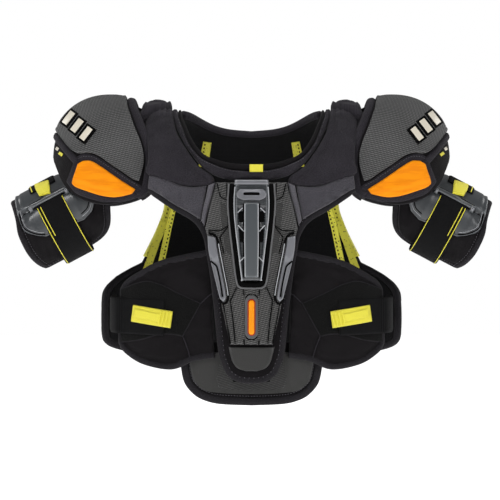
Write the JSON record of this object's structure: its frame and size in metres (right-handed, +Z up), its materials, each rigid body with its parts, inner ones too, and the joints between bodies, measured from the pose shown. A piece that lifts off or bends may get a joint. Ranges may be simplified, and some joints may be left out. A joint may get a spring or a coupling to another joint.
{
  "type": "hockey shoulder pads",
  "caption": "Ice hockey shoulder pads with hinged shoulder caps, bicep guards, chest and back plates, side wings, waist straps and a folding belly pad.",
  "frame": {"origin": "middle of the neck opening at the height where the pads rest on the shoulders", "axes": "+X to the wearer's left, along the widest way; -Y out of the chest; +Z up"},
  "size_m": [0.7436, 0.2772, 0.467],
  "materials": {
    "foam": "matt brushed knit over foam",
    "fabric": "woven polyester over foam",
    "panel": "heathered woven polyester over foam",
    "moulded": "textured moulded foam skin",
    "plastic": "semi-gloss moulded plastic",
    "silver": "satin silver-grey plastic",
    "orange": "semi-gloss moulded plastic",
    "yellow": "woven tape",
    "webbing": "ribbed elastic webbing"
  },
  "bodies": {
    "harness": {"chest_pad": "foam", "chest_plate": "moulded", "lower_tab": "plastic", "sternum_guard": "plastic", "sternum_spine": "plastic", "sternum_vent": "silver", "accent_bezel": "silver", "accent_insert": "orange", "side_insert_left": "silver", "side_insert_right": "silver", "front_collar": "foam", "collar_label": "yellow", "clavicle_pad_left": "fabric", "clavicle_pad_right": "fabric", "upper_chest_panel_left": "panel", "upper_chest_panel_right": "panel", "shoulder_arch_left": "fabric", "shoulder_arch_right": "fabric", "back_collar": "foam", "upper_back_pad": "fabric", "back_pad": "foam", "spine_plate": "moulded", "scapula_plate_left": "panel", "scapula_plate_right": "panel", "lower_back_plate": "panel", "outer_tape_left": "yellow", "outer_tape_right": "yellow"},
    "belly": {"belly_pad": "foam", "belly_plate": "moulded", "belly_binding": "foam"},
    "cap_left": {"cap_liner_left": "foam", "cap_shell_left": "fabric", "cap_cover_left": "moulded", "cap_insert_left": "orange"},
    "bicep_left": {"bicep_foam_left": "foam", "bicep_shell_left": "plastic", "bicep_strap_left": "webbing", "bicep_bar_left": "silver", "bicep_link_left": "webbing"},
    "bicep_tab_left": {"bicep_strap_end_left": "webbing", "bicep_pull_tab_left": "yellow"},
    "wing_left": {"side_wing_left": "panel"},
    "waist_left": {"waist_strap_left": "webbing", "waist_pull_tab_left": "yellow"},
    "cap_right": {"cap_liner_right": "foam", "cap_shell_right": "fabric", "cap_cover_right": "moulded", "cap_insert_right": "orange"},
    "bicep_right": {"bicep_foam_right": "foam", "bicep_shell_right": "plastic", "bicep_strap_right": "webbing", "bicep_bar_right": "silver", "bicep_link_right": "webbing"},
    "bicep_tab_right": {"bicep_strap_end_right": "webbing", "bicep_pull_tab_right": "yellow"},
    "wing_right": {"side_wing_right": "panel"},
    "waist_right": {"waist_strap_right": "webbing", "waist_pull_tab_right": "yellow"}
  },
  "joints": [
    {"name": "belly_fold", "type": "hinge", "parent": "harness", "child": "belly", "pos_m": [0, -0.101, -0.351], "axis": [1, 0, 0], "range_deg": [0, 18]},
    {"name": "cap_lift_left", "type": "hinge", "parent": "harness", "child": "cap_left", "pos_m": [0.17, 0, 0.022], "axis": [0, -1, 0], "range_deg": [0, 50]},
    {"name": "bicep_swing_left", "type": "hinge", "parent": "cap_left", "child": "bicep_left", "pos_m": [0.232, 0, -0.098], "axis": [0, 1, 0], "range_deg": [-5, 30], "deforming": ["bicep_link_left"]},
    {"name": "bicep_strap_peel_left", "type": "hinge", "parent": "bicep_left", "child": "bicep_tab_left", "pos_m": [0.31594, 0.03921, -0.10374], "axis": [-0.8829, 0, 0.4695], "range_deg": [0, 70]},
    {"name": "waist_strap_peel_left", "type": "hinge", "parent": "harness", "child": "waist_left", "pos_m": [0.213, 0.05, -0.292], "axis": [0, 0, 1], "range_deg": [0, 70]},
    {"name": "wing_swing_left", "type": "hinge", "parent": "harness", "child": "wing_left", "pos_m": [0.068, -0.109, -0.27], "axis": [0, 0, -1], "range_deg": [0, 20]},
    {"name": "cap_lift_right", "type": "hinge", "parent": "harness", "child": "cap_right", "pos_m": [-0.17, 0, 0.022], "axis": [0, 1, 0], "range_deg": [0, 50]},
    {"name": "bicep_swing_right", "type": "hinge", "parent": "cap_right", "child": "bicep_right", "pos_m": [-0.232, 0, -0.098], "axis": [0, -1, 0], "range_deg": [-5, 30], "deforming": ["bicep_link_right"]},
    {"name": "bicep_strap_peel_right", "type": "hinge", "parent": "bicep_right", "child": "bicep_tab_right", "pos_m": [-0.31594, 0.03921, -0.10374], "axis": [-0.8829, 0, -0.4695], "range_deg": [0, 70]},
    {"name": "waist_strap_peel_right", "type": "hinge", "parent": "harness", "child": "waist_right", "pos_m": [-0.213, 0.05, -0.292], "axis": [0, 0, -1], "range_deg": [0, 70]},
    {"name": "wing_swing_right", "type": "hinge", "parent": "harness", "child": "wing_right", "pos_m": [-0.068, -0.109, -0.27], "axis": [0, 0, 1], "range_deg": [0, 20]}
  ],
  "couplings": [
    {"joint": "wing_swing_left", "follows": "waist_strap_peel_left", "ratio": 0.25},
    {"joint": "wing_swing_right", "follows": "waist_strap_peel_right", "ratio": 0.25}
  ]
}
